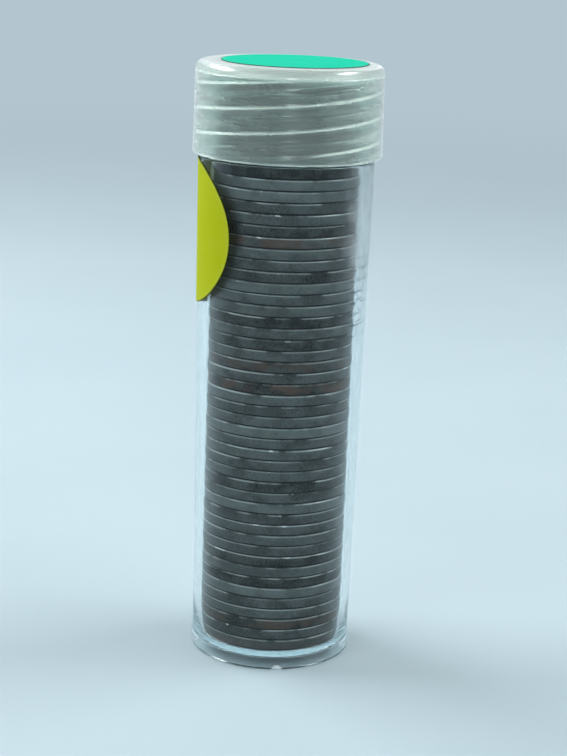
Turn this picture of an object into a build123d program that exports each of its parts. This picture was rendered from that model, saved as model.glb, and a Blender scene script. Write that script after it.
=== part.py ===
from build123d import *
import math
import os

# A clear moulded coin tube with a screw cap, two round stickers and a full roll of coins.
# Millimetres. The origin is the centre of the foot's underside, +Z runs up the tube, -Y is its front.

# Coins: plain-edged, one-cent size, their rims worn a little thinner than new
coin_count = 50
coin_diameter = 19.05
coin_thickness = 1.47
coin_edge_bevel = 0.12
coin_rim_width = 0.95
coin_rim_slope = 0.2
coin_field_depth = 0.15
coin_drift_share = 0.2

# Tube: bore and wall widen towards the mouth, so that the moulding leaves its core and its cavity
bore_clearance = 0.22
bore_draft = 0.2
wall_thickness = 0.92
wall_draft = 0.62
floor_thickness = 2.3
headspace = 2.35
mouth_bevel = 0.2
floor_bevel = 0.15

# Foot: a low bead round the base, hollowed from below so that the floor is no thicker than the wall
foot_overhang = 0.18
foot_height = 1.6
foot_flare_height = 0.9
foot_edge_round = 0.3
base_rim_width = 1.2
base_recess = 1.3
base_recess_draft = 10.0
gate_mark_radius = 0.7
gate_mark_depth = 0.15
gate_mark_bearing = 6.0

# Neck and cap: the gap between them holds the screw thread
neck_wall = 0.8
thread_gap = 0.65
shoulder_gap = 0.35
shoulder_bevel = 0.15
cap_wall = 0.85
cap_draft = 0.6
cap_top_thickness = 1.25
cap_skirt_length = 10.6
cap_edge_round = 1.2
cap_lip_bevel = 0.2
cap_corner_bevel = 0.3

# Stickers: round paper dots, one on the cap and one wrapped round the tube's left side
sticker_diameter = 19.05
sticker_thickness = 0.1
glue_thickness = 0.06
cap_sticker_offset = 0.6
side_sticker_bearing = -86.0
side_sticker_drop = 0.25
side_sticker_points = 24

# Heights that follow from the stack
coin_radius = coin_diameter / 2
stack_top = floor_thickness + coin_count * coin_thickness
mouth_height = stack_top + headspace
cap_lower_edge = mouth_height - cap_skirt_length
cap_top = mouth_height + cap_top_thickness
shoulder_height = cap_lower_edge - shoulder_gap


def bore_radius(height):
    """Radius of the drafted bore."""
    return coin_radius + bore_clearance + (height - floor_thickness) * math.tan(math.radians(bore_draft))


def wall_radius(height):
    """Radius of the tube's drafted outside."""
    return bore_radius(floor_thickness) + wall_thickness + height * math.tan(math.radians(wall_draft))


# Radii that follow from the bore
foot_radius = wall_radius(foot_height) + foot_overhang
neck_radius = bore_radius(mouth_height) + neck_wall
skirt_radius = neck_radius + thread_gap
cap_radius = skirt_radius + cap_wall
cap_top_radius = cap_radius - (cap_top - cap_lower_edge) * math.tan(math.radians(cap_draft))


def bearing_direction(bearing):
    """Level direction at a bearing in degrees from the front, positive towards +X."""
    angle = math.radians(bearing)
    return Vector(math.sin(angle), -math.cos(angle), 0)


def turned(outline, rounds=(), bevels=()):
    """Turn a half-section of (radius, height) points about the axis, with some corners rounded or bevelled."""
    section = make_face(Polyline(*outline, close=True))
    for corner, radius in rounds:
        section = fillet(section.vertices().sort_by_distance(corner)[0], radius)
    for corner, length in bevels:
        section = chamfer(section.vertices().sort_by_distance(corner)[0], length)
    return revolve(Plane.XZ * section, Axis.Z)


def build_tube_body():
    """Flat-footed tube with a drafted wall, a shoulder and a narrower neck for the cap."""
    base_rim_radius = foot_radius - base_rim_width
    base_recess_radius = base_rim_radius - base_recess * math.tan(math.radians(base_recess_draft))
    flare_top = foot_height + foot_flare_height
    foot_edge = (foot_radius, 0)
    foot_brow = (foot_radius, foot_height)
    shoulder_edge = (wall_radius(shoulder_height), shoulder_height)
    mouth_outer = (neck_radius, mouth_height)
    mouth_inner = (bore_radius(mouth_height), mouth_height)
    floor_corner = (bore_radius(floor_thickness), floor_thickness)
    body = turned(
        [
            (0, base_recess),
            (base_recess_radius, base_recess),
            (base_rim_radius, 0),
            foot_edge,
            foot_brow,
            (wall_radius(flare_top), flare_top),
            shoulder_edge,
            (neck_radius, shoulder_height),
            mouth_outer,
            mouth_inner,
            floor_corner,
            (0, floor_thickness),
        ],
        rounds=[
            (foot_edge, foot_edge_round),
            (foot_brow, foot_edge_round),
        ],
        bevels=[
            (shoulder_edge, shoulder_bevel),
            (mouth_outer, mouth_bevel),
            (mouth_inner, mouth_bevel),
            (floor_corner, floor_bevel),
        ],
    )
    outward = bearing_direction(gate_mark_bearing)
    gate_plane = Plane(origin=outward * (foot_radius - gate_mark_depth), z_dir=outward)
    return body - extrude(gate_plane * Circle(gate_mark_radius), gate_mark_radius)


def build_cap():
    """Cup-shaped screw cap whose ceiling seats on the mouth of the tube."""
    lip_outer = (cap_radius, cap_lower_edge)
    top_edge = (cap_top_radius, cap_top)
    ceiling_corner = (skirt_radius, mouth_height)
    return turned(
        [
            (0, mouth_height),
            ceiling_corner,
            (skirt_radius, cap_lower_edge),
            lip_outer,
            top_edge,
            (0, cap_top),
        ],
        rounds=[(top_edge, cap_edge_round)],
        bevels=[(lip_outer, cap_lip_bevel), (ceiling_corner, cap_corner_bevel)],
    )


def build_cap_label():
    """Round sticker on the flat of the cap, a little off centre."""
    return Pos(cap_sticker_offset, 0, cap_top) * extrude(Circle(sticker_diameter / 2), sticker_thickness)


def build_tube_label():
    """Round sticker wrapped round the tube: its width runs along the curve of the wall."""
    radius = sticker_diameter / 2
    middle = shoulder_height - side_sticker_drop - radius
    wrap_radius = wall_radius(middle) + glue_thickness
    outline = []
    for step in range(side_sticker_points):
        turn = 2 * math.pi * step / side_sticker_points
        across = wrap_radius * math.sin(radius * math.cos(turn) / wrap_radius)
        outline.append((across, radius * math.sin(turn)))
    outward = bearing_direction(side_sticker_bearing)
    sticker_plane = Plane(origin=(0, 0, middle), x_dir=outward.cross(Vector(0, 0, 1)), z_dir=outward)
    stamp = extrude(sticker_plane * make_face(Spline(*outline, periodic=True)), 2 * wrap_radius)
    low = middle - sticker_diameter
    high = middle + sticker_diameter
    skin = turned(
        [
            (wall_radius(low) + glue_thickness, low),
            (wall_radius(low) + glue_thickness + sticker_thickness, low),
            (wall_radius(high) + glue_thickness + sticker_thickness, high),
            (wall_radius(high) + glue_thickness, high),
        ]
    )
    return skin & stamp


def build_coin(index):
    """One loose coin with raised rims, lying off the axis by a share of the room that the bore leaves it."""
    golden_turn = math.pi * (3 - math.sqrt(5))
    underside = floor_thickness + index * coin_thickness
    drift = coin_drift_share * (bore_radius(underside) - coin_radius)
    place = Pos(drift * math.cos(index * golden_turn), drift * math.sin(index * golden_turn), underside)
    rim_radius = coin_radius - coin_rim_width
    field_radius = rim_radius - coin_rim_slope
    upper_field = coin_thickness - coin_field_depth
    lower_edge = (coin_radius, 0)
    upper_edge = (coin_radius, coin_thickness)
    coin = turned(
        [
            (0, coin_field_depth),
            (field_radius, coin_field_depth),
            (rim_radius, 0),
            lower_edge,
            upper_edge,
            (rim_radius, coin_thickness),
            (field_radius, upper_field),
            (0, upper_field),
        ],
        bevels=[(lower_edge, coin_edge_bevel), (upper_edge, coin_edge_bevel)],
    )
    return place * coin


pieces = {
    "tube_body": build_tube_body(),
    "cap": build_cap(),
    "cap_label": build_cap_label(),
    "tube_label": build_tube_label(),
}
for index in range(coin_count):
    pieces[f"coin_{index + 1:02d}"] = build_coin(index)

os.makedirs("parts", exist_ok=True)
for name, piece in pieces.items():
    export_step(piece, f"parts/{name}.step")
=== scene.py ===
import math

import bmesh
import bpy
from mathutils import Matrix, Vector, noise


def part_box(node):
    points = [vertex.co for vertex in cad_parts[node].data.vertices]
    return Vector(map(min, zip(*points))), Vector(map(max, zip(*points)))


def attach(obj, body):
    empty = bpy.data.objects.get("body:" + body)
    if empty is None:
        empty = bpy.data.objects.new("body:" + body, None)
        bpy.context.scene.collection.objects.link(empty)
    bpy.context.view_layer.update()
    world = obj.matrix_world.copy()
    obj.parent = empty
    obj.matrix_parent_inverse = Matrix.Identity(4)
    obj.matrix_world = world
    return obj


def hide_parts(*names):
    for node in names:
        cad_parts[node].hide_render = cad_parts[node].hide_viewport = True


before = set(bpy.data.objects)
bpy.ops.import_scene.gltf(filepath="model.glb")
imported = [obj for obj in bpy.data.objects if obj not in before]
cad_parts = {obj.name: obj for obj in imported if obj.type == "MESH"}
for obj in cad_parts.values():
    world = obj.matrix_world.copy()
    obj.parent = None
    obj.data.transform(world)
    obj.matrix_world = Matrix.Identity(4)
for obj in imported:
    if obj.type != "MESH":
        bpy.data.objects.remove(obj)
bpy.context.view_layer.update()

# Lengths are millimetres, as in the part's source, and become metres where a mesh is made
MM = 0.001

# Camera: its distance from the tube's axis, its height, and the angles of the photograph's view
CAMERA_DISTANCE = 238.2
CAMERA_HEIGHT = 99.6
CAMERA_PITCH = 0.2552
CAMERA_YAW = 0.0026
CAMERA_ROLL = 0.0379
CAMERA_CLIP_START = 5.0
FOCAL_PIXELS = 1838.0
PHOTO_HEIGHT_PIXELS = 756
SENSOR_WIDTH = 36.0

# Tube
FLOOR_THICKNESS = 2.3
BORE_RADIUS_FLOOR = 9.745
BORE_SLOPE = math.tan(math.radians(0.2))
WALL_THICKNESS = 0.92
WALL_SLOPE = math.tan(math.radians(0.62))
FOOT_OVERHANG = 0.18
FOOT_HEIGHT = 1.6
FOOT_FLARE_HEIGHT = 0.9
FOOT_EDGE_ROUND = 0.3
BASE_RIM_WIDTH = 1.2
BASE_RECESS = 1.3
BASE_RECESS_SLOPE = math.tan(math.radians(10.0))
NECK_WALL = 0.8
SHOULDER_GAP = 0.35
SMALL_ROUND = 0.18

# Gate mark at the foot: its edge slopes, and its frosting reaches a little beyond it
GATE_MARK_RADIUS = 0.7
GATE_MARK_DEPTH = 0.15
GATE_MARK_BEARING = math.radians(6.0)
GATE_MARK_SLOPE = 0.25
GATE_FROST_MARGIN = 0.1
GATE_FROST_FADE = 0.2
GATE_FROST_LOSS = 0.8

# Cap, with small nicks along its lip
THREAD_GAP = 0.65
CAP_SLOPE = math.tan(math.radians(0.6))
CAP_EDGE_ROUND = 1.2
CAP_LIP_ROUND = 0.22
CAP_CORNER_ROUND = 0.3
CAP_SEAT_GAP = 0.02
LIP_NICK = 0.1
LIP_NICK_REACH = 0.1
LIP_NICK_RATE = 9.0
LIP_NICK_SEED = 4.2

# Two-start right-hand screw thread; the phase is a share of its pitch
THREAD_LEAD = 6.3
THREAD_PITCH = THREAD_LEAD / 2
THREAD_DEPTH = 0.36
THREAD_HALF_CREST = 0.25
THREAD_STEEP_FLANK = 0.25
THREAD_EASY_FLANK = 1.3
THREAD_RUN_OUT = 0.6
THREAD_CLEARANCE = 0.3
CAP_THREAD_PHASE = 0.86
CAP_THREAD_START = 1.2
NECK_THREAD_PHASE = CAP_THREAD_PHASE + 0.5
NECK_THREAD_START = 1.3
NECK_THREAD_END = 1.2

# Where the cap's plastic is whiter: on its lip, in its thick top and on the thread's steep flank, where it
# is partly a painted highlight for the light that flank catches
LIP_MILK_WIDTH = 0.3
TOP_MILK = 0.5
TOP_MILK_DROP = 0.3
TOP_MILK_FADE = 0.5
THREAD_HIGHLIGHT_MILK = 0.45
THREAD_HIGHLIGHT_REACH = 0.26
THREAD_HIGHLIGHT_FADE = 0.2

# Fine ripples along the thread: how many to a turn, with the phase of each set, and how far below
# the cap's top they begin
RIPPLES = ((6, 0.6), (10, 1.7), (14, 4.1))
RIPPLES_BELOW_TOP = (1.4, 2.2)

# Wear of the clear wall: a hazy patch, and rub marks of the coins; each pair is where an effect begins
# and where it is full, towards +X, up the tube or near to a seam
HAZE_ACROSS = (6.4, 10.6)
HAZE_UP = (49.0, 57.0)
HAZE_SHOULDER_FADE = 0.8
HAZE_LOSS = 0.28
HAZE_ROUGHNESS = 0.6
RUB_ACROSS = (8.2, 9.4)
RUB_BEGINS = (43.0, 47.0)
RUB_ENDS = (54.0, 57.0)
RUB_LINE_EDGE = (0.2, 0.05)

# Coins; the rows on their edge are shares of its height
COIN_COUNT = 50
COIN_PITCH = 1.47
COIN_RIM_WIDTH = 0.95
COIN_RIM_SLOPE = 0.2
COIN_FIELD_DEPTH = 0.15
COIN_EDGE_ROUND = 0.1
COIN_EDGE_BARREL = 0.02
COIN_SIDE_ROWS = (0.09, 0.12, 0.16, 0.22, 0.5, 0.78, 0.84, 0.88, 0.91)
COIN_FACE_GAP = 0.006

# Tone, wear and painted light of the coins: a tone of 0 is dark, and the steps spread what each coin has of
# its own
DARK_COINS = {3, 7, 9, 16, 25, 27, 29, 31, 35, 39, 44, 47}
PALE_COINS = {6, 14, 21, 34, 42, 43, 49}
RUSTY_COINS = {1: 0.4, 3: 0.7, 25: 0.9, 27: 0.7, 38: 0.9, 46: 0.6}
PLAIN_TONE = 0.2
PALE_TONE = 0.42
TONE_SPREAD = 0.15
TONE_STEP = 0.618034
PATTERN_STEP = 3.7
RIM_WEAR_AND_HIGHLIGHT_STEP = 0.414214
LEAST_RIM_WEAR_AND_HIGHLIGHT = 0.35
RIM_REACH = 0.3
# The upper rim is paler, partly from wear and partly as a painted highlight where light from above falls on
# it
RIM_WEAR_AND_HIGHLIGHT_REACH = 0.2
RIM_WEAR_AND_HIGHLIGHT_FADE = 0.1
# Painted shade under each coin's lower rim and over its faces, where the coins above and below keep the
# light out
SHADE_REACH = 0.23
SHADE_FADE = 0.07
FACE_SHADE_FADE = 0.2
SHADE_COVER = 0.96

# Stickers: the rim of the side one lifts a little; both have a worn rim and a painted shadow along their
# edge
SIDE_STICKER_BEARING = math.radians(-86.0)
GLUE_THICKNESS = 0.06
STICKER_THICKNESS = 0.1
STICKER_EDGE_ROUND = 0.03
STICKER_EDGE_STEP = 0.1
STICKER_LIFT = 0.03
STICKER_LIFT_WIDTH = 1.2
STICKER_LIFT_RATE = 0.4
STICKER_WEAR_WIDTH = 0.8
STICKER_WEAR_SHARE = 0.5
# Painted shadow along each sticker's edge: how far it reaches, how it fades and how dark it is
STICKER_SHADE_REACH = 0.168
STICKER_SHADE_FADE = 0.12
STICKER_SHADE_COVER = 0.8

# Colours of the object; lamplight is what lamps keep on their way through the plastic
CLEAR_TINT = (0.95, 0.98, 0.985, 1.0)
HAZE_TINT = (0.74, 0.81, 0.83, 1.0)
RUB_TINT = (0.12, 0.17, 0.18, 1.0)
CLEAR_GLOSS_TINT = (0.35, 0.35, 0.35, 1.0)
CLEAR_DEPTH_TINT = (0.75, 0.87, 0.89, 1.0)
CLEAR_DEPTH_DENSITY = 100.0
CLEAR_LAMPLIGHT = (0.62, 0.65, 0.655, 1.0)
CAP_DARK_STREAK = (0.71, 0.83, 0.76, 1.0)
CAP_PALE_STREAK = (0.87, 0.98, 0.905, 1.0)
CAP_FLOW_SHARE = 0.3
CAP_LAMPLIGHT = (0.6, 0.65, 0.65, 1.0)
COIN_DARK = (0.008, 0.010, 0.0105, 1.0)
COIN_PALE = (0.165, 0.188, 0.186, 1.0)
COIN_RUST = (0.085, 0.050, 0.036, 1.0)
# Painted shade in the seams between the coins
COIN_SHADE = (0.002, 0.0025, 0.0025, 1.0)
# Paler upper rim, partly wear and partly a painted highlight, with painted glints on it
COIN_RUB_AND_HIGHLIGHT = (0.36, 0.39, 0.39, 1.0)
COIN_GLINT = (0.95, 0.96, 0.93, 1.0)
GREEN_PAPER = (0.001, 0.53, 0.335, 1.0)
GREEN_WORN = (0.13, 0.72, 0.52, 1.0)
YELLOW_PAPER = (0.44, 0.49, 0.010, 1.0)
YELLOW_WORN = (0.58, 0.62, 0.16, 1.0)
# Painted shadow along a sticker's edge
STICKER_EDGE_SHADE = (0.03, 0.035, 0.015, 1.0)

# Stage: the floor's radius, and the distances between which it fades into the backdrop, are in metres
BACKDROP = (0.45, 0.56, 0.62, 1.0)
FLOOR_DARK = (0.46, 0.57, 0.62, 1.0)
FLOOR_PALE = (0.48, 0.59, 0.64, 1.0)
FLOOR_RADIUS = 4.0
FLOOR_FADE_START = 0.12
FLOOR_FADE_END = 0.7

# The floor lies this far under the foot
FLOOR_DROP = 0.02

# Light
HORIZON_LIGHT = (0.68, 0.79, 0.85, 1.0)
OVERHEAD_LIGHT = (0.58, 0.62, 0.64, 1.0)
WORLD_STRENGTH = 0.45
LAMP_TARGET = (0.0, 0.0, 40.0)
LIGHT_BOUNCES = 32
GLOSSY_BOUNCES = 16

# Fineness of the meshes: segments round a form, and rows of points along its section
TUBE_SEGMENTS = 288
CAP_SEGMENTS = 240
COIN_SEGMENTS = 128
STICKER_SEGMENTS = 160
FLOOR_SEGMENTS = 96
FOOT_EDGE_STEPS = 5
FOOT_ROWS = 12
FLARE_SHARES = (0.0, 0.15, 0.3, 0.45, 0.6, 0.75, 0.9)
WALL_ROWS = 36
NECK_ROWS = 84
BORE_ROWS = 16
SKIRT_ROWS = 168
CAP_SIDE_ROWS = 14
CAP_EDGE_STEPS = 9
CAP_TOP_ROWS = 6
STICKER_RINGS = 20
STICKER_UNDER_SHARES = (0.35, 0.7, 0.95)

# Distance from a rounded corner to the next row of points
FOOT_FLAT_MARGIN = 0.2
FOOT_SIDE_MARGIN = 0.1
BORE_TOP_MARGIN = 0.5
CAP_CEILING_MARGIN = 0.1
CAP_SIDE_MARGIN = 0.2
CAP_TOP_MARGIN = 0.3

# A point lies on a turned surface when its radius is this near to it
ON_SURFACE = 0.01

MOUTH_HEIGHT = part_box("tube_body")[1].z / MM
CAP_LOWER_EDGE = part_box("cap")[0].z / MM
CAP_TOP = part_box("cap")[1].z / MM
CAP_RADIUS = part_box("cap")[1].x / MM
SHOULDER_HEIGHT = CAP_LOWER_EDGE - SHOULDER_GAP


def bore_radius(height):
    """Radius of the drafted bore."""
    return BORE_RADIUS_FLOOR + (height - FLOOR_THICKNESS) * BORE_SLOPE


def wall_radius(height):
    """Radius of the tube's drafted outside."""
    return BORE_RADIUS_FLOOR + WALL_THICKNESS + height * WALL_SLOPE


NECK_RADIUS = bore_radius(MOUTH_HEIGHT) + NECK_WALL
SKIRT_RADIUS = NECK_RADIUS + THREAD_GAP
FOOT_RADIUS = wall_radius(FOOT_HEIGHT) + FOOT_OVERHANG


# Mesh helpers

def smoothstep(value):
    """Eases a value between 0 and 1; below and above, it stays at these ends."""
    value = min(max(value, 0.0), 1.0)
    return value * value * (3 - 2 * value)


def line(start, end, steps):
    """Points from start up to, but not including, end."""
    shares = [step / steps for step in range(steps)]
    return [(start[0] + (end[0] - start[0]) * s, start[1] + (end[1] - start[1]) * s) for s in shares]


def arc(centre, radius, start_degrees, end_degrees, steps=4):
    """Points on a round corner, both ends included."""
    points = []
    for step in range(steps + 1):
        angle = math.radians(start_degrees + (end_degrees - start_degrees) * step / steps)
        points.append((centre[0] + radius * math.cos(angle), centre[1] + radius * math.sin(angle)))
    return points


def bearing_point(radius, angle, height, centre=(0.0, 0.0)):
    """A point in metres at an angle from the front, turning towards the viewer's right."""
    return Vector((centre[0] + radius * math.sin(angle), centre[1] - radius * math.cos(angle), height)) * MM


def finished_object(name, mesh_data, sharp_degrees=35):
    """Links a bmesh as an object, smooth apart from its sharp edges."""
    bmesh.ops.recalc_face_normals(mesh_data, faces=mesh_data.faces)
    limit = math.radians(sharp_degrees)
    for edge in mesh_data.edges:
        edge.smooth = len(edge.link_faces) == 2 and edge.calc_face_angle(0.0) < limit
    for face in mesh_data.faces:
        face.smooth = True
    mesh = bpy.data.meshes.new(name)
    mesh_data.to_mesh(mesh)
    mesh_data.free()
    piece = bpy.data.objects.new(name, mesh)
    bpy.context.scene.collection.objects.link(piece)
    return piece


def close_rings(mesh_data, first_pole, rings, last_pole):
    """Faces between neighbouring rings, with a fan to a pole at each end."""
    count = len(rings[0])
    for index in range(count):
        after = (index + 1) % count
        mesh_data.faces.new((first_pole, rings[0][index], rings[0][after]))
        mesh_data.faces.new((last_pole, rings[-1][after], rings[-1][index]))
        for lower, upper in zip(rings, rings[1:]):
            mesh_data.faces.new((lower[index], upper[index], upper[after], lower[after]))


def lathe(name, section, segments, reshape=None, centre=(0.0, 0.0)):
    """Turns a section that starts and ends on the axis; reshape moves (radius, height) at an angle."""
    mesh_data = bmesh.new()
    first_pole = mesh_data.verts.new(bearing_point(0.0, 0.0, section[0][1], centre))
    last_pole = mesh_data.verts.new(bearing_point(0.0, 0.0, section[-1][1], centre))
    rings = []
    for radius, height in section[1:-1]:
        ring = []
        for segment in range(segments):
            angle = 2 * math.pi * segment / segments
            place = reshape(radius, height, angle) if reshape else (radius, height)
            ring.append(mesh_data.verts.new(bearing_point(place[0], angle, place[1], centre)))
        rings.append(ring)
    close_rings(mesh_data, first_pole, rings, last_pole)
    return finished_object(name, mesh_data)


def dress(piece, material, body, node):
    """Gives a piece its material, the body it rides on and the CAD node it stands for."""
    piece.data.materials.append(material)
    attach(piece, body)
    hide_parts(node)


def point_values(mesh, *names):
    """Adds named numbers to a mesh's points, for its material to read."""
    for name in names:
        mesh.attributes.new(name, "FLOAT", "POINT")
    return [mesh.attributes[name].data for name in names]


def thread_offset(angle, height, phase):
    """Height above the nearest crest of the thread, at an angle from the front."""
    turns = (height - THREAD_LEAD * angle / (2 * math.pi)) / THREAD_PITCH - phase
    return (turns - round(turns)) * THREAD_PITCH


def thread_rise(angle, height, start, end, phase):
    """How far the thread stands up; its lower flank is the steep one."""
    off_crest = thread_offset(angle, height, phase)
    crest_height = height - off_crest
    flank_width = THREAD_EASY_FLANK if off_crest > 0 else THREAD_STEEP_FLANK
    flank = 1 - (abs(off_crest) - THREAD_HALF_CREST) / flank_width
    run_in = smoothstep((crest_height - start) / THREAD_RUN_OUT)
    run_out = smoothstep((end - crest_height) / THREAD_RUN_OUT)
    return THREAD_DEPTH * smoothstep(flank) * run_in * run_out


# Tube: foot, wall, shoulder and threaded neck in one moulding

def tube_section():
    """Half-section from the hollow under the base, up the outside and down the bore to the floor."""
    rim_radius = FOOT_RADIUS - BASE_RIM_WIDTH
    recess_radius = rim_radius - BASE_RECESS * BASE_RECESS_SLOPE
    flare_top = FOOT_HEIGHT + FOOT_FLARE_HEIGHT
    foot_round = FOOT_RADIUS - FOOT_EDGE_ROUND
    foot_side = FOOT_EDGE_ROUND + FOOT_SIDE_MARGIN
    section = [(0.0, BASE_RECESS), (recess_radius / 2, BASE_RECESS)]
    section += arc((recess_radius - SMALL_ROUND, BASE_RECESS - SMALL_ROUND), SMALL_ROUND, 90, 0)
    section += arc((rim_radius + SMALL_ROUND, SMALL_ROUND), SMALL_ROUND, 180, 270)
    section.append((foot_round - FOOT_FLAT_MARGIN, 0.0))
    section += arc((foot_round, FOOT_EDGE_ROUND), FOOT_EDGE_ROUND, -90, 0, FOOT_EDGE_STEPS)
    section += line((FOOT_RADIUS, foot_side), (FOOT_RADIUS, FOOT_HEIGHT), FOOT_ROWS)
    for share in FLARE_SHARES:
        height = FOOT_HEIGHT + FOOT_FLARE_HEIGHT * share
        section.append((wall_radius(height) + FOOT_OVERHANG * (1 - smoothstep(share)), height))
    wall_top = SHOULDER_HEIGHT - SMALL_ROUND
    section += line((wall_radius(flare_top), flare_top), (wall_radius(wall_top), wall_top), WALL_ROWS)
    section += arc((wall_radius(SHOULDER_HEIGHT) - SMALL_ROUND, wall_top), SMALL_ROUND, 0, 90)
    neck_top = MOUTH_HEIGHT - SMALL_ROUND
    section += line((NECK_RADIUS, SHOULDER_HEIGHT), (NECK_RADIUS, neck_top), NECK_ROWS)
    section += arc((NECK_RADIUS - SMALL_ROUND, neck_top), SMALL_ROUND, 0, 90)
    section += arc((bore_radius(MOUTH_HEIGHT) + SMALL_ROUND, neck_top), SMALL_ROUND, 90, 180)
    bore_top = neck_top - BORE_TOP_MARGIN
    bore_foot = FLOOR_THICKNESS + SMALL_ROUND
    section += line((bore_radius(bore_top), bore_top), (bore_radius(bore_foot), bore_foot), BORE_ROWS)
    section += arc((BORE_RADIUS_FLOOR - SMALL_ROUND, bore_foot), SMALL_ROUND, 0, -90)
    section += [(BORE_RADIUS_FLOOR / 2, FLOOR_THICKNESS), (0.0, FLOOR_THICKNESS)]
    return section


def gate_distance(angle, height):
    """Distance along the foot from the middle of the gate mark."""
    across = math.remainder(angle - GATE_MARK_BEARING, 2 * math.pi) * FOOT_RADIUS
    return math.hypot(across, height)


def shape_tube(radius, height, angle):
    """Adds the neck's thread and the small gate mark at the foot."""
    if abs(radius - NECK_RADIUS) < ON_SURFACE and height > SHOULDER_HEIGHT + THREAD_CLEARANCE:
        start = SHOULDER_HEIGHT + NECK_THREAD_START
        end = MOUTH_HEIGHT - NECK_THREAD_END
        radius += thread_rise(angle, height, start, end, NECK_THREAD_PHASE)
    from_gate = gate_distance(angle, height)
    if from_gate < GATE_MARK_RADIUS and radius > FOOT_RADIUS - FOOT_EDGE_ROUND:
        radius -= GATE_MARK_DEPTH * smoothstep((GATE_MARK_RADIUS - from_gate) / GATE_MARK_SLOPE)
    return radius, height


def mark_tube(mesh):
    """Stores where the torn gate mark is frosted."""
    frost, = point_values(mesh, "frost")
    reach = GATE_MARK_RADIUS + GATE_FROST_MARGIN
    for vertex in mesh.vertices:
        x, y, z = vertex.co / MM
        outside = math.hypot(x, y) > FOOT_RADIUS - FOOT_EDGE_ROUND
        from_gate = gate_distance(math.atan2(x, -y), z)
        frost[vertex.index].value = smoothstep((reach - from_gate) / GATE_FROST_FADE) if outside else 0.0


def build_tube(material):
    """The clear tube, on its own body."""
    tube = lathe("clear_tube", tube_section(), TUBE_SEGMENTS, shape_tube)
    mark_tube(tube.data)
    dress(tube, material, "tube", "tube_body")


# Cap, threaded inside

def cap_section():
    """Half-section from under the ceiling, down the threaded skirt, round the lip and up to the top."""
    ceiling = MOUTH_HEIGHT + CAP_SEAT_GAP
    corner_height = ceiling - CAP_CORNER_ROUND
    skirt_top = corner_height - CAP_CEILING_MARGIN
    side_start = CAP_LOWER_EDGE + CAP_LIP_ROUND
    top_radius = CAP_RADIUS - (CAP_TOP - CAP_LOWER_EDGE) * CAP_SLOPE
    edge_start = CAP_TOP - CAP_EDGE_ROUND
    edge_radius = top_radius - CAP_EDGE_ROUND
    side_foot = (CAP_RADIUS, side_start + CAP_SIDE_MARGIN)
    side_top = (top_radius, edge_start - CAP_SIDE_MARGIN)
    section = [(0.0, ceiling), (NECK_RADIUS / 2, ceiling), (NECK_RADIUS, ceiling)]
    section += arc((SKIRT_RADIUS - CAP_CORNER_ROUND, corner_height), CAP_CORNER_ROUND, 90, 0)
    section += line((SKIRT_RADIUS, skirt_top), (SKIRT_RADIUS, side_start), SKIRT_ROWS)
    section += arc((SKIRT_RADIUS + CAP_LIP_ROUND, side_start), CAP_LIP_ROUND, 180, 270)
    section += arc((CAP_RADIUS - CAP_LIP_ROUND, side_start), CAP_LIP_ROUND, -90, 0)
    section += line(side_foot, side_top, CAP_SIDE_ROWS)
    section += arc((edge_radius, edge_start), CAP_EDGE_ROUND, 0, 90, CAP_EDGE_STEPS)
    section += line((edge_radius - CAP_TOP_MARGIN, CAP_TOP), (0.0, CAP_TOP), CAP_TOP_ROWS)
    section.append((0.0, CAP_TOP))
    return section


def shape_cap(radius, height, angle):
    """Adds the thread inside the skirt and the small nicks along its lip."""
    if abs(radius - SKIRT_RADIUS) < ON_SURFACE and height > CAP_LOWER_EDGE + THREAD_CLEARANCE:
        radius -= thread_rise(angle, height, CAP_LOWER_EDGE + CAP_THREAD_START, CAP_TOP, CAP_THREAD_PHASE)
    if height < CAP_LOWER_EDGE + LIP_NICK_REACH:
        place = Vector((math.cos(angle) * LIP_NICK_RATE, math.sin(angle) * LIP_NICK_RATE, LIP_NICK_SEED))
        height += LIP_NICK * max(0.0, noise.noise(place))
    return radius, height


def thread_line(angle, height):
    """The steep flank of the cap's thread, where the plastic is whitest, partly as a painted highlight for
    the light that flank catches.
    """
    off_crest = thread_offset(angle, height, CAP_THREAD_PHASE)
    off_flank = abs(off_crest + THREAD_HALF_CREST + THREAD_STEEP_FLANK / 2)
    begun = smoothstep((height - off_crest - CAP_LOWER_EDGE - CAP_THREAD_START) / THREAD_RUN_OUT)
    return begun * smoothstep((THREAD_HIGHLIGHT_REACH - off_flank) / THREAD_HIGHLIGHT_FADE)


def mark_cap(mesh):
    """Stores where the plastic looks whiter: along its lip, round its thick top and on the thread, where it
    is partly a painted highlight.
    """
    milk_and_highlight, = point_values(mesh, "milk_and_highlight")
    for vertex in mesh.vertices:
        x, y, z = vertex.co / MM
        lip = smoothstep(1 - (z - CAP_LOWER_EDGE) / LIP_MILK_WIDTH)
        top = TOP_MILK * smoothstep((z - MOUTH_HEIGHT + TOP_MILK_DROP) / TOP_MILK_FADE)
        inside = math.hypot(x, y) < SKIRT_RADIUS + ON_SURFACE and z < MOUTH_HEIGHT
        # On the thread's steep flank the whiter plastic is partly a painted highlight
        thread = THREAD_HIGHLIGHT_MILK * thread_line(math.atan2(x, -y), z) if inside else 0.0
        milk_and_highlight[vertex.index].value = max(lip, top, thread)


def build_cap(material):
    """The screw cap, on the body that lifts and turns."""
    cap = lathe("screw_cap", cap_section(), CAP_SEGMENTS, shape_cap)
    mark_cap(cap.data)
    dress(cap, material, "cap_shell", "cap")


# Coins

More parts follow.
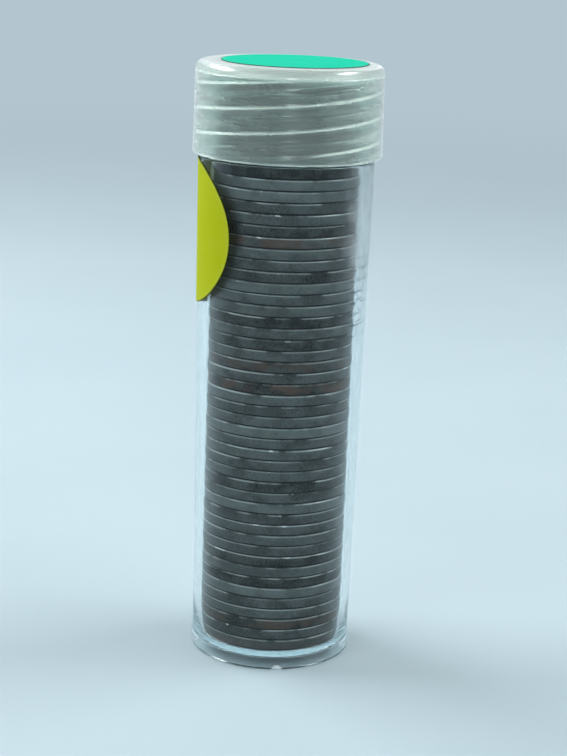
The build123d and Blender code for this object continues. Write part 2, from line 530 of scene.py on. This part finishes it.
def coin_section(bottom, top, radius):
    """Half-section of a coin with raised rims and softly rounded corners."""
    rim = radius - COIN_RIM_WIDTH
    field = rim - COIN_RIM_SLOPE
    corner = radius - COIN_EDGE_ROUND
    lower_field = bottom + COIN_FIELD_DEPTH
    upper_field = top - COIN_FIELD_DEPTH
    section = [(0.0, lower_field), (field, lower_field), (rim, bottom)]
    section += arc((corner, bottom + COIN_EDGE_ROUND), COIN_EDGE_ROUND, -90, 0)
    for share in COIN_SIDE_ROWS:
        bulge = COIN_EDGE_BARREL * 4 * share * (1 - share)
        section.append((radius + bulge, bottom + (top - bottom) * share))
    section += arc((corner, top - COIN_EDGE_ROUND), COIN_EDGE_ROUND, 0, 90)
    section += [(rim, top), (field, upper_field), (0.0, upper_field)]
    return section


def coin_tone(number):
    """How pale a coin is, from 0 to 1: some are darker or paler than the rest."""
    own = TONE_SPREAD * (number * TONE_STEP % 1.0)
    if number in DARK_COINS:
        return own / 2
    if number in PALE_COINS:
        return PALE_TONE + own
    return PLAIN_TONE + own


def mark_coin(mesh, number, bottom, top, radius, centre):
    """Stores a coin's own tone and rust, its rubbed upper rim with a painted highlight, and painted shade
    under its lower rim and over its faces.
    """
    seed, tone, rust, rim_wear_and_highlight, painted_shade = point_values(mesh, "seed", "tone", "rust", "rim_wear_and_highlight", "painted_shade")
    coin_rim_wear_and_highlight = LEAST_RIM_WEAR_AND_HIGHLIGHT + (1 - LEAST_RIM_WEAR_AND_HIGHLIGHT) * (number * RIM_WEAR_AND_HIGHLIGHT_STEP % 1.0)
    for vertex in mesh.vertices:
        x, y, z = vertex.co / MM
        from_edge = radius - math.hypot(x - centre.x, y - centre.y)
        on_edge = smoothstep(1 - abs(from_edge) / RIM_REACH)
        # Painted shade under the lower rim and over the faces, between the coins
        under_rim = smoothstep((SHADE_REACH - z + bottom) / SHADE_FADE)
        seed[vertex.index].value = number * PATTERN_STEP
        tone[vertex.index].value = coin_tone(number)
        rust[vertex.index].value = RUSTY_COINS.get(number, 0.0)
        # Upper rim: wear, and a painted highlight where light from above falls on it
        rim_wear_and_highlight[vertex.index].value = coin_rim_wear_and_highlight * on_edge * smoothstep((RIM_WEAR_AND_HIGHLIGHT_REACH - top + z) / RIM_WEAR_AND_HIGHLIGHT_FADE)
        painted_shade[vertex.index].value = max(under_rim, smoothstep(from_edge / FACE_SHADE_FADE))


def build_coin(number, material):
    """One coin of the stack, in the place of its solid."""
    node = f"coin_{number:02d}"
    low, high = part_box(node)
    centre = (low + high) / 2 / MM
    radius = (high.y - low.y) / 2 / MM - COIN_EDGE_BARREL
    bottom = low.z / MM + COIN_FACE_GAP
    top = high.z / MM - COIN_FACE_GAP
    section = coin_section(bottom, top, radius)
    coin = lathe(f"{node}_piece", section, COIN_SEGMENTS, centre=(centre.x, centre.y))
    mark_coin(coin.data, number, bottom, top, radius, centre)
    dress(coin, material, "coin_stack", node)


# Stickers

def sticker_profile(radius):
    """Rings of a round sticker, from under its centre round to its top: (radius, thickness share)."""
    inner = radius - STICKER_EDGE_ROUND
    face = radius - 2 * STICKER_EDGE_STEP
    rings = [(radius * share, 0.0) for share in STICKER_UNDER_SHARES]
    rings += [(inner, 0.0), (radius, 0.3), (radius, 0.7), (inner, 1.0)]
    rings += [(radius - STICKER_EDGE_STEP, 1.0), (face, 1.0)]
    rings += [(face * (1 - step / STICKER_RINGS), 1.0) for step in range(1, STICKER_RINGS)]
    return rings


def build_sticker(name, radius, place):
    """A round paper sticker; place turns (across, up, thickness share) into a point in metres."""
    mesh_data = bmesh.new()
    first_pole = mesh_data.verts.new(place(0.0, 0.0, 0.0))
    last_pole = mesh_data.verts.new(place(0.0, 0.0, 1.0))
    rings = []
    for ring_radius, share in sticker_profile(radius):
        ring = []
        for segment in range(STICKER_SEGMENTS):
            angle = 2 * math.pi * segment / STICKER_SEGMENTS
            across = ring_radius * math.cos(angle)
            up = ring_radius * math.sin(angle)
            ring.append(mesh_data.verts.new(place(across, up, share)))
        rings.append(ring)
    close_rings(mesh_data, first_pole, rings, last_pole)
    return finished_object(name, mesh_data)


def mark_sticker(mesh, centre, radius):
    """Stores how near each point is to the sticker's rim, and where the painted shadow along its edge lies.
    """
    edge, edge_shade = point_values(mesh, "edge", "edge_shade")
    for vertex in mesh.vertices:
        inside = radius - (vertex.co / MM - centre).length
        edge[vertex.index].value = smoothstep(1 - inside / STICKER_WEAR_WIDTH)
        # Painted shadow along the sticker's edge
        edge_shade[vertex.index].value = smoothstep((STICKER_SHADE_REACH - inside) / STICKER_SHADE_FADE)


def build_cap_sticker(material):
    """The flat sticker on the cap, which turns with it."""
    low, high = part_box("cap_label")
    centre = (low + high) / 2 / MM
    radius = (high.x - low.x) / 2 / MM
    bottom = low.z / MM + CAP_SEAT_GAP
    thickness = high.z / MM - bottom

    def place(across, up, share):
        return Vector((centre.x + across, centre.y + up, bottom + thickness * share)) * MM

    sticker = build_sticker("cap_sticker", radius, place)
    mark_sticker(sticker.data, centre, radius)
    dress(sticker, material, "cap_shell", "cap_label")


def build_tube_sticker(material):
    """The sticker that is wrapped round the tube, its rim lifting unevenly."""
    low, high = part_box("tube_label")
    middle_height = (low.z + high.z) / 2 / MM
    radius = (high.z - low.z) / 2 / MM

    def place(across, up, share):
        height = middle_height + up
        wall = wall_radius(height)
        edge = smoothstep((math.hypot(across, up) - radius + STICKER_LIFT_WIDTH) / STICKER_LIFT_WIDTH)
        uneven = 0.5 + noise.noise(Vector((across, up, 0.0)) * STICKER_LIFT_RATE)
        return bearing_point(
            wall + GLUE_THICKNESS + STICKER_THICKNESS * share + STICKER_LIFT * edge * uneven,
            SIDE_STICKER_BEARING + across / wall,
            height,
        )

    sticker = build_sticker("tube_sticker", radius, place)
    mark_sticker(sticker.data, place(0.0, 0.0, 1.0) / MM, radius)
    dress(sticker, material, "tube", "tube_label")


# Materials

class Shader:
    """A material with short calls for the nodes that the finishes share; patterns are in millimetres."""

    def __init__(self, name):
        self.material = bpy.data.materials.new(name)
        self.material.use_nodes = True
        self.tree = self.material.node_tree
        self.surface = self.tree.nodes["Principled BSDF"]
        self.place = self.node("ShaderNodeTexCoord").outputs["Object"]

    def node(self, kind, **inputs):
        """Adds a node; each input is a value, or an output to link."""
        made = self.tree.nodes.new(kind)
        for name, value in inputs.items():
            self.feed(made.inputs[name], value)
        return made

    def feed(self, socket, value):
        """Links an output to a socket, or sets the socket's own value."""
        if isinstance(value, bpy.types.NodeSocket):
            self.tree.links.new(value, socket)
        else:
            socket.default_value = value

    def set(self, **inputs):
        """Sets the shader's own sockets, with _ for the spaces in their names."""
        for name, value in inputs.items():
            self.feed(self.surface.inputs[name.replace("_", " ")], value)

    def attribute(self, name):
        """A number that was stored on the mesh's points."""
        made = self.node("ShaderNodeAttribute")
        made.attribute_name = name
        return made.outputs["Fac"]

    def noise(self, size, detail=3.0, stretch=(1.0, 1.0, 1.0), seed=0.0):
        """Noise with features of about the given size; stretch makes them longer along an axis."""
        scale = tuple(1.0 / (size * MM * factor) for factor in stretch)
        mapped = self.node("ShaderNodeMapping", Vector=self.place, Scale=scale)
        made = self.tree.nodes.new("ShaderNodeTexNoise")
        made.noise_dimensions = "4D"
        inputs = {"Vector": mapped.outputs["Vector"], "W": seed, "Scale": 1.0, "Detail": detail}
        for name, value in inputs.items():
            self.feed(made.inputs[name], value)
        return made.outputs["Fac"]

    def fit(self, value, start, end, low=0.0, high=1.0):
        """Maps start..end to low..high, clamped and eased."""
        made = self.tree.nodes.new("ShaderNodeMapRange")
        made.interpolation_type = "SMOOTHSTEP"
        for socket, part in zip(made.inputs[:5], (value, start, end, low, high)):
            self.feed(socket, part)
        return made.outputs["Result"]

    def zone(self, length, start, end):
        """Eases from 0 at start to 1 at end, both in millimetres."""
        return self.fit(length, start * MM, end * MM)

    def math(self, operation, first, second):
        """The result of a Math node."""
        made = self.tree.nodes.new("ShaderNodeMath")
        made.operation = operation
        self.feed(made.inputs[0], first)
        self.feed(made.inputs[1], second)
        return made.outputs["Value"]

    def product(self, first, *others):
        """Multiplies values, one after the other."""
        for other in others:
            first = self.math("MULTIPLY", first, other)
        return first

    def blend(self, share, first, second):
        """Mixes two colours; 6, 7 and 2 are the Mix node's sockets for colours."""
        made = self.tree.nodes.new("ShaderNodeMix")
        made.data_type = "RGBA"
        self.feed(made.inputs["Factor"], share)
        self.feed(made.inputs[6], first)
        self.feed(made.inputs[7], second)
        return made.outputs[2]

    def bump(self, height, distance):
        """Raises the surface by a pattern, by a distance in millimetres."""
        made = self.node("ShaderNodeBump", Height=height, Distance=distance * MM, Strength=1.0)
        self.set(Normal=made.outputs["Normal"])

    def mix_over(self, share, other):
        """Lays a share of another shader over the material's own."""
        mixed = self.node("ShaderNodeMixShader", Fac=share)
        self.tree.links.new(self.surface.outputs["BSDF"], mixed.inputs[1])
        self.tree.links.new(other, mixed.inputs[2])
        self.tree.links.new(mixed.outputs["Shader"], self.tree.nodes["Material Output"].inputs["Surface"])

    def absorb(self, colour, density):
        """Tints light by the length of its way through the solid."""
        depth = self.node("ShaderNodeVolumeAbsorption", Color=colour, Density=density)
        self.tree.links.new(depth.outputs["Volume"], self.tree.nodes["Material Output"].inputs["Volume"])

    def let_lamps_through(self, colour):
        """Lamps reach what is behind the plastic, because shadow rays pass through it."""
        clear = self.node("ShaderNodeBsdfTransparent", Color=colour)
        path = self.node("ShaderNodeLightPath")
        self.mix_over(path.outputs["Is Shadow Ray"], clear.outputs["BSDF"])


def wall_haze(shader, across, height):
    """The cloudy patch on the wall's upper right, dulled by handling; under the cap the neck is clear."""
    right = shader.zone(across, *HAZE_ACROSS)
    upper = shader.zone(height, *HAZE_UP)
    handled = shader.zone(height, SHOULDER_HEIGHT, SHOULDER_HEIGHT - HAZE_SHOULDER_FADE)
    clouds = shader.noise(size=2.5, detail=5.0, stretch=(1.0, 1.0, 1.6))
    cloud = shader.fit(clouds, 0.35, 0.65, low=0.2)
    return shader.product(right, upper, handled, cloud)


def rub_marks(shader, across, height):
    """Broken dark lines below the haze, where the seams between the coins have rubbed the wall."""
    beside_coins = shader.zone(across, *RUB_ACROSS)
    begun = shader.zone(height, *RUB_BEGINS)
    not_ended = shader.math("SUBTRACT", 1.0, shader.zone(height, *RUB_ENDS))
    stack_height = shader.math("SUBTRACT", height, FLOOR_THICKNESS * MM)
    from_seam = shader.math("PINGPONG", stack_height, COIN_PITCH / 2 * MM)
    seams = shader.zone(from_seam, *RUB_LINE_EDGE)
    dashes = shader.fit(shader.noise(size=0.9, detail=2.0), 0.46, 0.53)
    return shader.product(beside_coins, begun, not_ended, seams, dashes)


def clear_plastic():
    """Clear moulded plastic, worn by handling and by the coins, and frosted at its gate mark."""
    shader = Shader("clear_plastic")
    split = shader.node("ShaderNodeSeparateXYZ", Vector=shader.place)
    across = split.outputs["X"]
    height = split.outputs["Z"]
    haze = wall_haze(shader, across, height)
    dulled = shader.blend(haze, CLEAR_TINT, HAZE_TINT)
    scratches = shader.noise(size=0.35, detail=2.0, stretch=(3.0, 3.0, 0.2))
    hairlines = shader.fit(scratches, 0.66, 0.76, high=0.2)
    frost = shader.attribute("frost")
    dull_marks = shader.math("MAXIMUM", shader.product(haze, HAZE_ROUGHNESS), hairlines)
    frost_loss = shader.product(frost, GATE_FROST_LOSS)
    opaque = shader.math("MAXIMUM", frost_loss, shader.product(haze, HAZE_LOSS))
    shader.set(
        Base_Color=shader.blend(rub_marks(shader, across, height), dulled, RUB_TINT),
        Roughness=shader.fit(shader.math("MAXIMUM", dull_marks, frost), 0.0, 1.0, low=0.02, high=0.3),
        IOR=1.5,
        Specular_Tint=CLEAR_GLOSS_TINT,
        Transmission_Weight=shader.math("SUBTRACT", 1.0, opaque),
    )
    shader.bump(shader.noise(size=9.0, detail=1.0), distance=0.012)
    shader.let_lamps_through(CLEAR_LAMPLIGHT)
    shader.absorb(CLEAR_DEPTH_TINT, CLEAR_DEPTH_DENSITY)
    return shader.material


def moulding_lines(shader):
    """Fine ripples that climb the skirt as its thread does; whole numbers to a turn leave no seam."""
    split = shader.node("ShaderNodeSeparateXYZ", Vector=shader.place)
    height = split.outputs["Z"]
    angle = shader.math("ARCTAN2", split.outputs["X"], shader.product(split.outputs["Y"], -1.0))
    climb = shader.product(angle, THREAD_LEAD * MM / (2 * math.pi))
    level = shader.math("SUBTRACT", height, climb)
    ripples = 0.0
    for lines_to_a_turn, phase in RIPPLES:
        turn = shader.product(level, 2 * math.pi * lines_to_a_turn / (THREAD_LEAD * MM))
        wave = shader.math("SINE", shader.math("ADD", turn, phase), 0.0)
        ripples = shader.math("ADD", wave, ripples)
    first, full = RIPPLES_BELOW_TOP
    skirt = shader.zone(height, CAP_TOP - first, CAP_TOP - full)
    return shader.product(ripples, skirt)


def milky_plastic():
    """Translucent moulded cap, with faint flow marks and ripples round it."""
    shader = Shader("milky_plastic")
    flow = shader.noise(size=3.5, detail=3.0, stretch=(2.5, 2.5, 0.35))
    cloud = shader.fit(flow, 0.35, 0.68)
    ripples = moulding_lines(shader)
    streaks = shader.math("ADD", shader.fit(ripples, -1.8, 1.8), shader.product(cloud, CAP_FLOW_SHARE))
    shader.set(
        Base_Color=shader.blend(streaks, CAP_DARK_STREAK, CAP_PALE_STREAK),
        Roughness=shader.fit(cloud, 0.0, 1.0, low=0.24, high=0.28),
        IOR=1.46,
        # Less light goes through where the plastic is whiter; along the thread's flank this is partly a
        # painted highlight
        Transmission_Weight=shader.fit(shader.attribute("milk_and_highlight"), 0.0, 1.0, low=0.96, high=0.35),
        Coat_Weight=0.8,
        Coat_Roughness=0.15,
        Sheen_Weight=1.0,
        Sheen_Roughness=0.35,
    )
    waves = shader.noise(size=5.0, detail=0.0, stretch=(2.0, 2.0, 0.6))
    shader.bump(shader.math("ADD", waves, ripples), distance=0.006)
    shader.let_lamps_through(CAP_LAMPLIGHT)
    return shader.material


def coin_metal():
    """Dull grey metal, toned coin by coin, with brown patches, painted shade at the seams, upper rims
    bright from wear and a painted highlight, and painted glints.
    """
    shader = Shader("coin_metal")
    seed = shader.attribute("seed")
    blotches = shader.noise(size=2.4, detail=5.0, stretch=(1.2, 1.2, 0.8), seed=seed)
    grain = shader.noise(size=0.28, detail=2.0)
    blotched = shader.fit(blotches, 0.36, 0.64, low=-0.12, high=0.12)
    grained = shader.fit(grain, 0.35, 0.65, low=0.05, high=0.21)
    patina = shader.math("ADD", blotched, grained)
    tone = shader.math("ADD", shader.attribute("tone"), patina)
    grey = shader.blend(tone, COIN_DARK, COIN_PALE)
    spots = shader.noise(size=1.8, detail=4.0, stretch=(1.6, 1.6, 1.0), seed=seed)
    patches = shader.fit(spots, 0.38, 0.62)
    browned = shader.blend(shader.product(shader.attribute("rust"), patches), grey, COIN_RUST)
    # Painted shade at the seams between the coins
    shaded = shader.blend(shader.product(shader.attribute("painted_shade"), SHADE_COVER), browned, COIN_SHADE)
    # Upper rims paler, partly by wear and partly as a painted highlight
    rim_wear_and_highlight = shader.attribute("rim_wear_and_highlight")
    rub_and_highlight = shader.product(rim_wear_and_highlight, shader.fit(blotches, 0.38, 0.55))
    rimmed = shader.blend(rub_and_highlight, shaded, COIN_RUB_AND_HIGHLIGHT)
    # Painted glints along the upper rims
    sparks = shader.noise(size=0.9, detail=2.0, stretch=(2.0, 2.0, 1.0), seed=seed)
    glints = shader.fit(sparks, 0.655, 0.71)
    shader.set(
        Base_Color=shader.blend(shader.product(rim_wear_and_highlight, glints), rimmed, COIN_GLINT),
        Metallic=0.8,
        Roughness=shader.fit(shader.math("SUBTRACT", grain, rub_and_highlight), -0.5, 0.7, low=0.28, high=0.5),
    )
    shader.bump(grain, distance=0.003)
    return shader.material


def sticker_paper(name, colour, worn_colour):
    """Coloured paper with a faint grain, a paler rubbed rim and a painted shadow along its edge."""
    shader = Shader(name)
    fibres = shader.noise(size=0.22, detail=4.0)
    cloud = shader.noise(size=4.0, detail=2.0)
    wear = shader.product(shader.attribute("edge"), shader.fit(fibres, 0.42, 0.7), STICKER_WEAR_SHARE)
    toned = shader.math("ADD", wear, shader.fit(cloud, 0.3, 0.7, high=0.05))
    face = shader.blend(toned, colour, worn_colour)
    # Painted shadow along the sticker's edge
    edge_shade = shader.product(shader.attribute("edge_shade"), STICKER_SHADE_COVER)
    shader.set(
        Base_Color=shader.blend(edge_shade, face, STICKER_EDGE_SHADE),
        Roughness=shader.fit(fibres, 0.3, 0.7, low=0.5, high=0.68),
        Specular_IOR_Level=0.02,
    )
    shader.bump(fibres, distance=0.012)
    return shader.material


# Stage

def seen_rays(tree):
    """1 for rays that show a picture of the surroundings, 0 for those that light the object."""
    path = tree.nodes.new("ShaderNodeLightPath")
    share = path.outputs["Is Camera Ray"]
    for kind in ("Is Glossy Ray", "Is Transmission Ray"):
        either = tree.nodes.new("ShaderNodeMath")
        either.operation = "MAXIMUM"
        tree.links.new(share, either.inputs[0])
        tree.links.new(path.outputs[kind], either.inputs[1])
        share = either.outputs["Value"]
    return share


def build_floor():
    """A wide pale floor, just under the foot, that fades into the backdrop."""
    mesh_data = bmesh.new()
    bmesh.ops.create_circle(mesh_data, cap_ends=True, segments=FLOOR_SEGMENTS, radius=FLOOR_RADIUS)
    for vertex in mesh_data.verts:
        vertex.co.z = -FLOOR_DROP * MM
    floor = finished_object("floor", mesh_data)
    shader = Shader("floor_paper")
    mottle = shader.fit(shader.noise(size=60.0, detail=2.0), 0.3, 0.7)
    shader.set(
        Base_Color=shader.blend(mottle, FLOOR_DARK, FLOOR_PALE),
        Roughness=0.65,
        Specular_IOR_Level=0.3,
    )
    distance = shader.node("ShaderNodeVectorMath", Vector=shader.place)
    distance.operation = "LENGTH"
    far = shader.fit(distance.outputs["Value"], FLOOR_FADE_START, FLOOR_FADE_END)
    backdrop = shader.node("ShaderNodeEmission", Color=BACKDROP)
    shader.mix_over(shader.product(far, seen_rays(shader.tree)), backdrop.outputs["Emission"])
    floor.data.materials.append(shader.material)


def light_world():
    """Even pale light, a little brighter at the horizon than overhead, in front of a plain backdrop."""
    world = bpy.data.worlds.new("surroundings")
    world.use_nodes = True
    bpy.context.scene.world = world
    tree = world.node_tree
    place = tree.nodes.new("ShaderNodeTexCoord")
    split = tree.nodes.new("ShaderNodeSeparateXYZ")
    ramp = tree.nodes.new("ShaderNodeValToRGB")
    ramp.color_ramp.elements[0].color = HORIZON_LIGHT
    ramp.color_ramp.elements[1].color = OVERHEAD_LIGHT
    light = tree.nodes["Background"]
    light.inputs["Strength"].default_value = WORLD_STRENGTH
    backdrop = tree.nodes.new("ShaderNodeBackground")
    backdrop.inputs["Color"].default_value = BACKDROP
    mixed = tree.nodes.new("ShaderNodeMixShader")
    tree.links.new(place.outputs["Generated"], split.inputs["Vector"])
    tree.links.new(split.outputs["Z"], ramp.inputs["Fac"])
    tree.links.new(ramp.outputs["Color"], light.inputs["Color"])
    tree.links.new(seen_rays(tree), mixed.inputs["Fac"])
    tree.links.new(light.outputs["Background"], mixed.inputs[1])
    tree.links.new(backdrop.outputs["Background"], mixed.inputs[2])
    tree.links.new(mixed.outputs["Shader"], tree.nodes["World Output"].inputs["Surface"])


def add_lamp(name, place, size, power, target=LAMP_TARGET):
    """A soft rectangular lamp that faces its target; lengths are in millimetres."""
    lamp = bpy.data.lights.new(name, "AREA")
    lamp.shape = "RECTANGLE"
    lamp.size = size[0] * MM
    lamp.size_y = size[1] * MM
    lamp.energy = power
    holder = bpy.data.objects.new(name, lamp)
    holder.location = Vector(place) * MM
    holder.rotation_euler = (Vector(target) - Vector(place)).to_track_quat("-Z", "Y").to_euler()
    bpy.context.scene.collection.objects.link(holder)


def light_scene():
    """Two strips overhead, two broad lamps in front, one for the far floor and a small one for glints."""
    light_world()
    add_lamp("overhead left", place=(-380, 180, 430), size=(420, 140), power=2.6)
    add_lamp("overhead right", place=(300, 80, 430), size=(240, 90), power=1.1)
    add_lamp("front left", place=(-420, -420, 330), size=(400, 400), power=0.8)
    add_lamp("front right", place=(480, -200, 280), size=(450, 450), power=0.85)
    add_lamp("backdrop", place=(0, 1500, 900), size=(1500, 800), power=3.0, target=(0.0, 1300.0, 0.0))
    add_lamp("glint", place=(12, -300, 125), size=(30, 30), power=0.08)


def place_camera():
    """Sets the camera by the photograph's own pitch, yaw and roll."""
    forward = Vector((
        math.sin(CAMERA_YAW) * math.cos(CAMERA_PITCH),
        math.cos(CAMERA_YAW) * math.cos(CAMERA_PITCH),
        -math.sin(CAMERA_PITCH),
    ))
    level = Vector((math.cos(CAMERA_YAW), -math.sin(CAMERA_YAW), 0.0))
    upright = level.cross(forward)
    right = level * math.cos(CAMERA_ROLL) + upright * math.sin(CAMERA_ROLL)
    up = right.cross(forward)
    lens = bpy.data.cameras.new("camera")
    lens.sensor_width = SENSOR_WIDTH
    lens.lens = FOCAL_PIXELS * SENSOR_WIDTH / PHOTO_HEIGHT_PIXELS
    lens.clip_start = CAMERA_CLIP_START * MM
    camera = bpy.data.objects.new("camera", lens)
    turn = Matrix((right, up, -forward)).transposed().to_4x4()
    camera.matrix_world = Matrix.Translation(Vector((0.0, -CAMERA_DISTANCE, CAMERA_HEIGHT)) * MM) @ turn
    bpy.context.scene.collection.objects.link(camera)
    bpy.context.scene.camera = camera


def build_object():
    """All pieces, each with its material."""
    metal = coin_metal()
    for number in range(1, COIN_COUNT + 1):
        build_coin(number, metal)
    build_tube(clear_plastic())
    build_cap(milky_plastic())
    build_cap_sticker(sticker_paper("green_paper", GREEN_PAPER, GREEN_WORN))
    build_tube_sticker(sticker_paper("yellow_paper", YELLOW_PAPER, YELLOW_WORN))


build_object()
build_floor()
light_scene()
place_camera()
bpy.context.scene.view_settings.view_transform = "Standard"
bpy.context.scene.cycles.max_bounces = LIGHT_BOUNCES
bpy.context.scene.cycles.glossy_bounces = GLOSSY_BOUNCES
bpy.context.scene.cycles.transmission_bounces = LIGHT_BOUNCES
